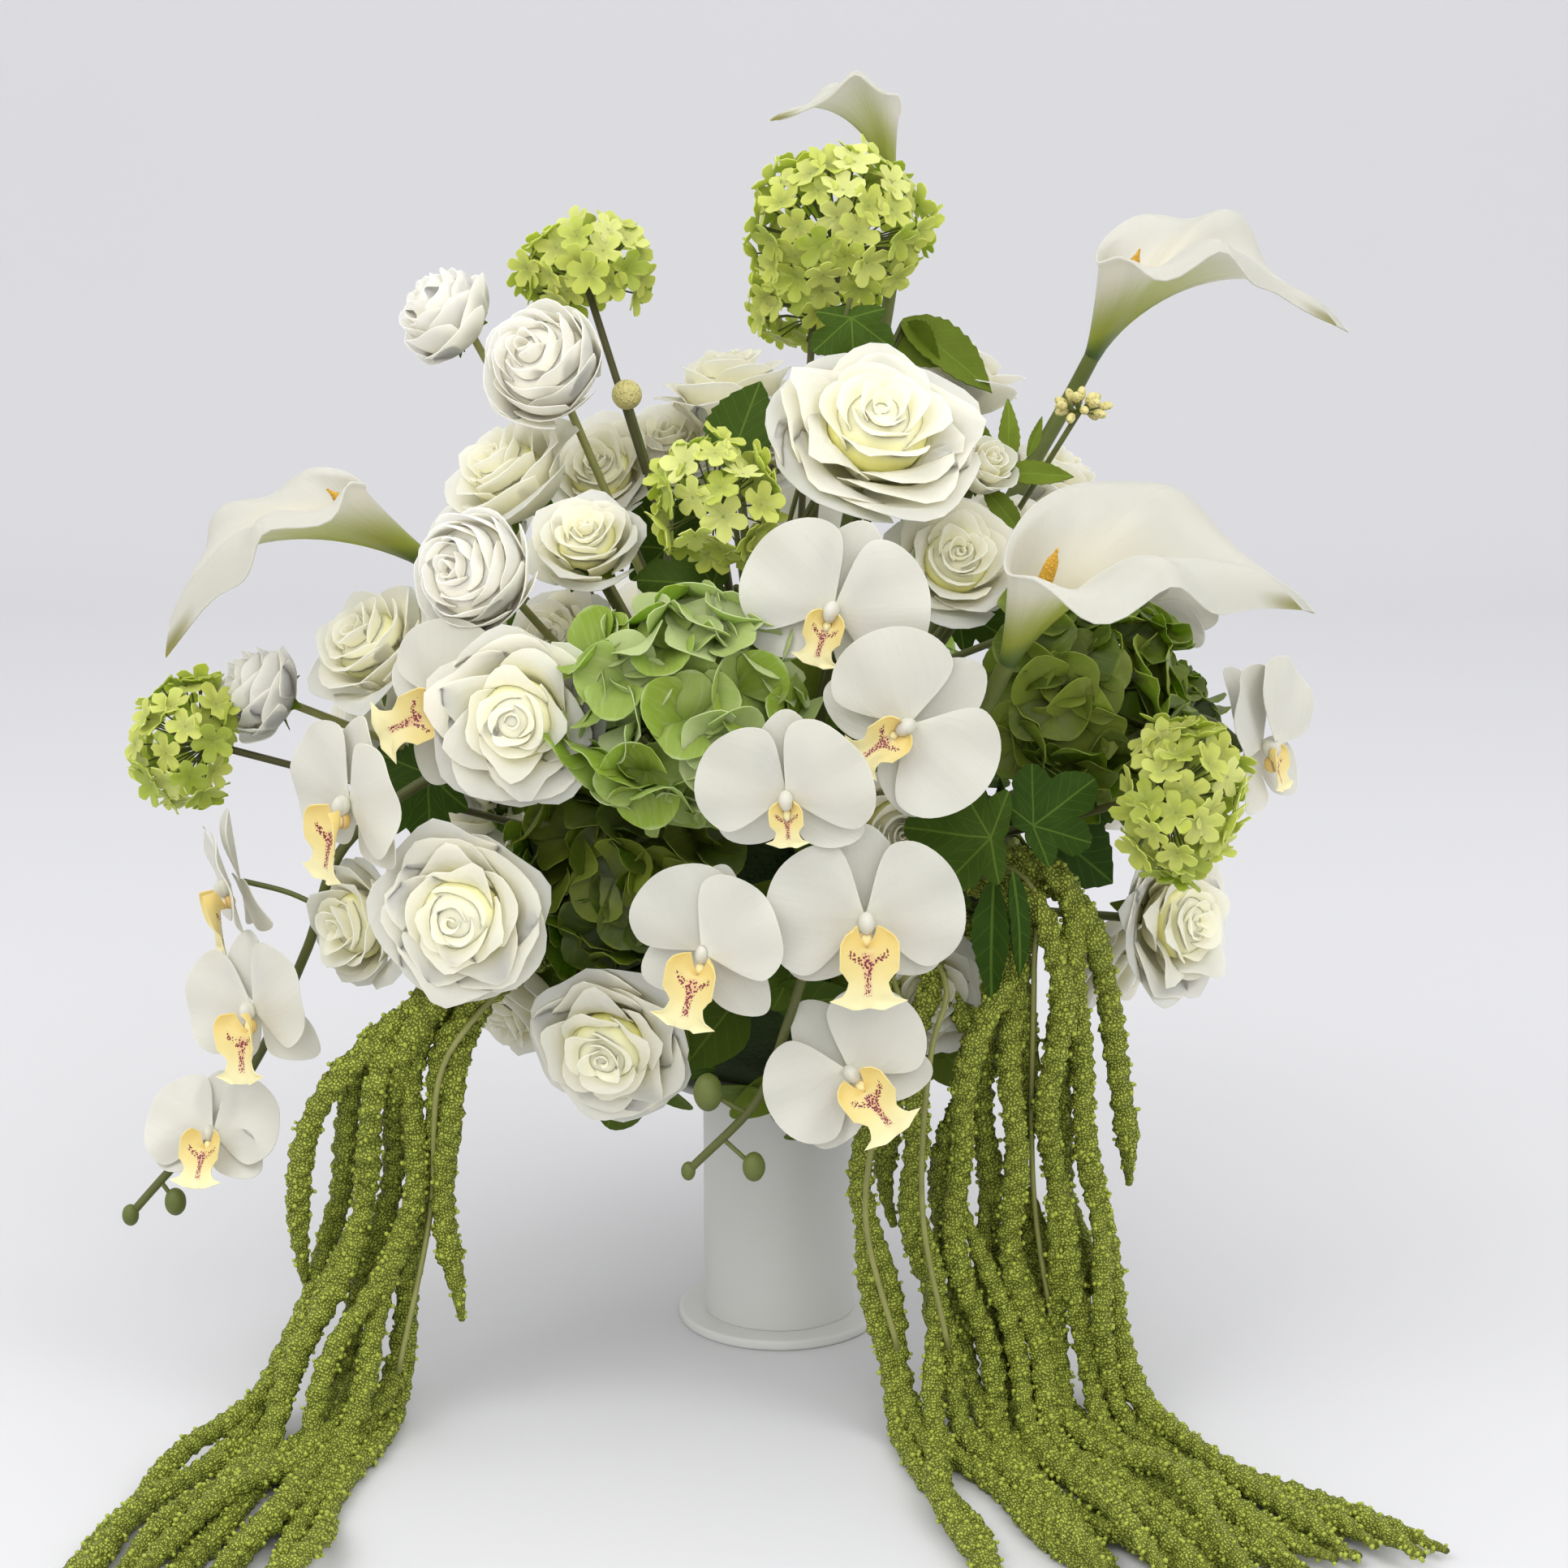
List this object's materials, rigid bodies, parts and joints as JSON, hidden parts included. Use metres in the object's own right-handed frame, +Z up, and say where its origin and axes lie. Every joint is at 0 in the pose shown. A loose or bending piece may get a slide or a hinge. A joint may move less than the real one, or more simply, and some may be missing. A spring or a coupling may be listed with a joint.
{
  "type": "flower ball centerpiece",
  "caption": "Ball of artificial white roses, orchids, callas and green snowballs on a low white stand, with long falls of hanging amaranthus.",
  "frame": {"origin": "centre of the stand's flat underside, on the surface that it stands on", "axes": "+Z up through the stand and the ball, -Y towards the front, where the amaranthus runs out along the table, +X to the right seen from the front"},
  "size_m": [0.6581, 0.6623, 0.6748],
  "materials": {
    "rose_petal": "matte silk-like petals",
    "ranunculus_petal": "matte silk-like petals",
    "calla_spathe": "soft coated foam",
    "spadix_yellow": "grainy",
    "orchid_petal": "soft coated foam",
    "viburnum_lime": "matte",
    "hydrangea_light": "matte",
    "hydrangea_dark": "matte",
    "leaf_green": "satin, with pale veins",
    "amaranthus_green": "grainy, matte",
    "berry_yellow": "satin",
    "foam": "dry foam",
    "stand_white": "satin white"
  },
  "bodies": {
    "root": {"amaranthus_left": "amaranthus_green", "amaranthus_right": "amaranthus_green", "berry_spray": "berry_yellow", "calla_1": "calla_spathe", "calla_2": "calla_spathe", "calla_3": "calla_spathe", "calla_4": "calla_spathe", "foam_core": "foam", "hydrangea_back": "hydrangea_light", "hydrangea_back_left": "hydrangea_dark", "hydrangea_front": "hydrangea_dark", "hydrangea_light": "hydrangea_light", "hydrangea_right": "hydrangea_dark", "hydrangea_side": "hydrangea_dark", "leaves_back": "leaf_green", "leaves_left": "leaf_green", "leaves_middle": "leaf_green", "leaves_right": "leaf_green", "leaves_top": "leaf_green", "orchid_spray_back": "orchid_petal", "orchid_spray_left": "orchid_petal", "orchid_spray_middle": "orchid_petal", "orchid_spray_right": "orchid_petal", "ranunculus_1": "ranunculus_petal", "ranunculus_2": "ranunculus_petal", "ranunculus_3": "ranunculus_petal", "ranunculus_4": "ranunculus_petal", "rose_1": "rose_petal", "rose_13": "rose_petal", "rose_17": "rose_petal", "rose_18": "rose_petal", "rose_2": "rose_petal", "rose_3": "rose_petal", "rose_4": "rose_petal", "rose_5": "rose_petal", "rose_6": "rose_petal", "rose_8": "rose_petal", "roses_back_left": "rose_petal", "roses_back_low": "rose_petal", "roses_back_mid": "rose_petal", "roses_back_right": "rose_petal", "roses_left_low": "rose_petal", "roses_right": "rose_petal", "roses_top_back": "rose_petal", "roses_top_left": "rose_petal", "spadix_1": "spadix_yellow", "spadix_2": "spadix_yellow", "spadix_3": "spadix_yellow", "spadix_4": "spadix_yellow", "stand_column": "stand_white", "stand_foot": "stand_white", "stand_plate": "stand_white", "viburnum_1": "viburnum_lime", "viburnum_2": "viburnum_lime", "viburnum_3": "viburnum_lime", "viburnum_4": "viburnum_lime", "viburnum_5": "viburnum_lime", "viburnum_6": "viburnum_lime"}
  },
  "joints": []
}
